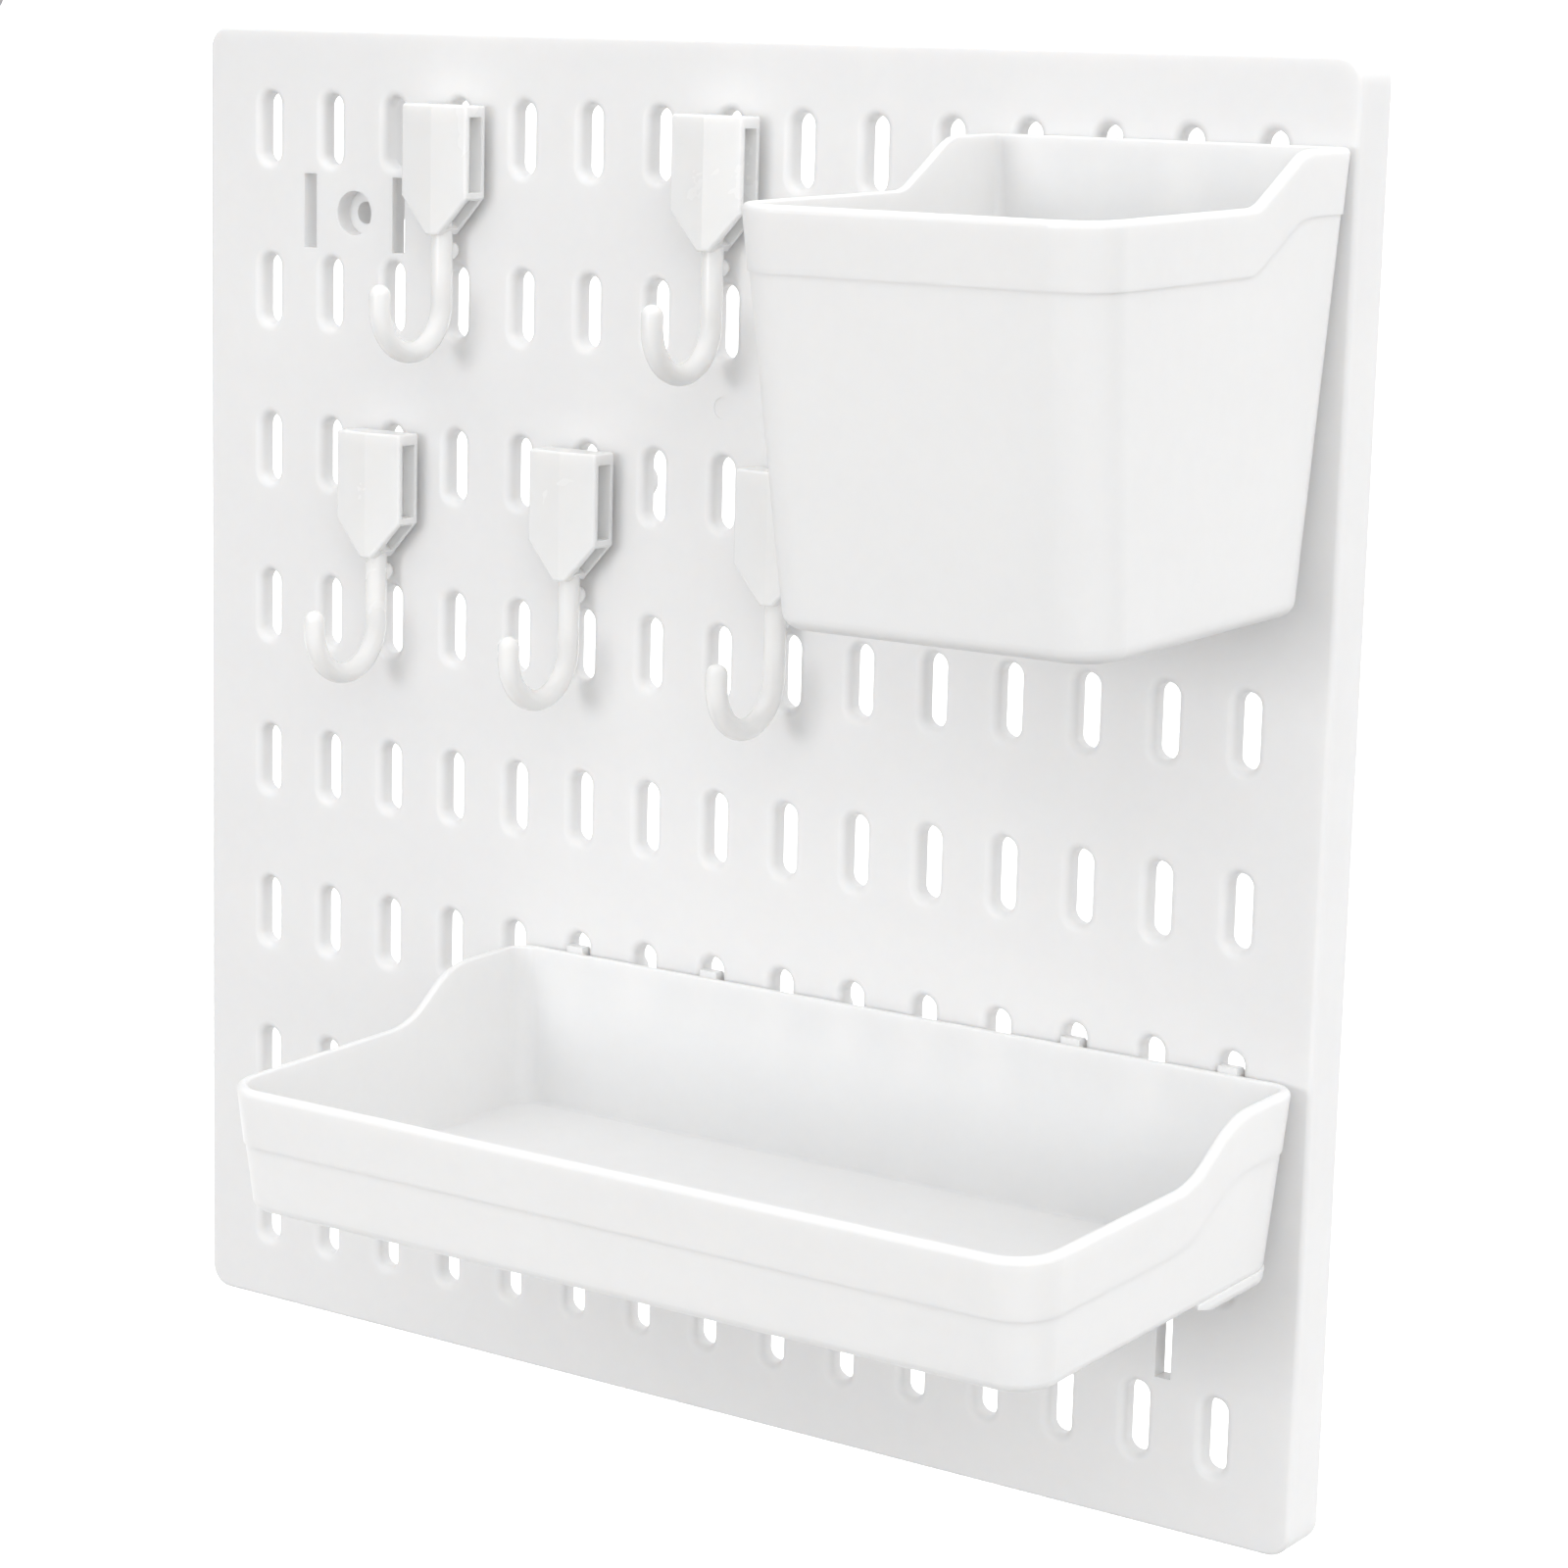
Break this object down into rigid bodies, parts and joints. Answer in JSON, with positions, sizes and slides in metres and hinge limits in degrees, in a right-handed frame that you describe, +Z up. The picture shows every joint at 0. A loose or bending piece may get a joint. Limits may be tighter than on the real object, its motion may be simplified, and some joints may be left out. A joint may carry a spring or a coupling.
{
  "type": "slotted wall pegboard with hooks, bucket and tray",
  "caption": "White plastic slotted wall pegboard with lift-off J hooks, a deep bucket and a wide shallow tray for craft tools and small parts.",
  "frame": {"origin": "centre of the four wall screws, on the wall plane that the panel's rear rim stands on", "axes": "+X to the right along a slot row, +Y into the wall, +Z up; the slotted face looks along -Y"},
  "size_m": [0.28, 0.11, 0.288],
  "materials": {
    "panel_white": "satin moulded",
    "hook_white": "satin moulded",
    "basin_white": "satin moulded"
  },
  "bodies": {
    "panel": {"pegboard_panel": "panel_white"},
    "j_hook_top_left": {"j_hook_top_left": "hook_white"},
    "j_hook_top_centre": {"j_hook_top_centre": "hook_white"},
    "j_hook_middle_left": {"j_hook_middle_left": "hook_white"},
    "j_hook_middle_centre": {"j_hook_middle_centre": "hook_white"},
    "j_hook_middle_right": {"j_hook_middle_right": "hook_white"},
    "bucket": {"bucket": "basin_white"},
    "tray": {"tray": "basin_white"}
  },
  "joints": [
    {"name": "j_hook_top_left_lift_off", "type": "slide", "parent": "panel", "child": "j_hook_top_left", "axis": [0, -0.7071, 0.7071], "range_m": [0, 0.025]},
    {"name": "j_hook_top_centre_lift_off", "type": "slide", "parent": "panel", "child": "j_hook_top_centre", "axis": [0, -0.7071, 0.7071], "range_m": [0, 0.025]},
    {"name": "j_hook_middle_left_lift_off", "type": "slide", "parent": "panel", "child": "j_hook_middle_left", "axis": [0, -0.7071, 0.7071], "range_m": [0, 0.025]},
    {"name": "j_hook_middle_centre_lift_off", "type": "slide", "parent": "panel", "child": "j_hook_middle_centre", "axis": [0, -0.7071, 0.7071], "range_m": [0, 0.025]},
    {"name": "j_hook_middle_right_lift_off", "type": "slide", "parent": "panel", "child": "j_hook_middle_right", "axis": [0, -0.7071, 0.7071], "range_m": [0, 0.025]},
    {"name": "bucket_lift_off", "type": "slide", "parent": "panel", "child": "bucket", "axis": [0, -0.7071, 0.7071], "range_m": [0, 0.025]},
    {"name": "tray_lift_off", "type": "slide", "parent": "panel", "child": "tray", "axis": [0, -0.7071, 0.7071], "range_m": [0, 0.025]}
  ]
}
